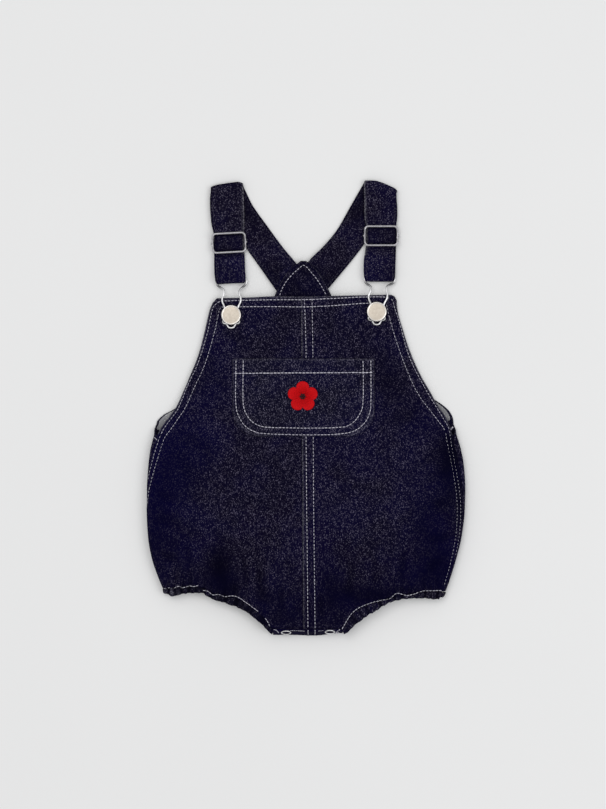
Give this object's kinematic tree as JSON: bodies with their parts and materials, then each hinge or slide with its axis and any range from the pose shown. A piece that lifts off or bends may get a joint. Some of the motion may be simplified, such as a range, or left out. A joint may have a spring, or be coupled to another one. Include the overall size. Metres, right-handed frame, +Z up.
{
  "type": "baby denim overalls",
  "caption": "Baby bubble-romper overalls in dark raw denim, laid flat: bib with patch pocket, crossed back straps with sliders and clasps, gathered legs, snapped crotch.",
  "frame": {"origin": "middle of the footprint, on the surface the overalls lie on", "axes": "+X to the wearer's left, +Y from the crotch to the shoulders, +Z up out of the surface"},
  "size_m": [0.2606, 0.3746, 0.0136],
  "materials": {
    "denim": "dark raw indigo twill, fine pale flecks, white double topstitching",
    "strap_denim": "the same denim, folded and pressed",
    "band_denim": "the same denim, gathered over elastic",
    "embroidery": "red satin-stitch embroidery",
    "nickel": "bright nickel plate",
    "button_metal": "pale champagne nickel, satin cap with a bright rim"
  },
  "bodies": {
    "root": {"front_right": "denim", "front_left": "denim", "back_right": "denim", "back_left": "denim", "back_facing": "denim", "pocket": "denim", "flower_patch": "embroidery", "strap_right": "strap_denim", "strap_left": "strap_denim", "leg_band_right": "band_denim", "leg_band_left": "band_denim", "crotch_front": "denim", "crotch_back": "denim", "snap_right": "nickel", "snap_left": "nickel", "slider_right": "nickel", "slider_left": "nickel", "clasp_right": "nickel", "clasp_left": "nickel", "button_right": "button_metal", "button_left": "button_metal"}
  },
  "joints": []
}
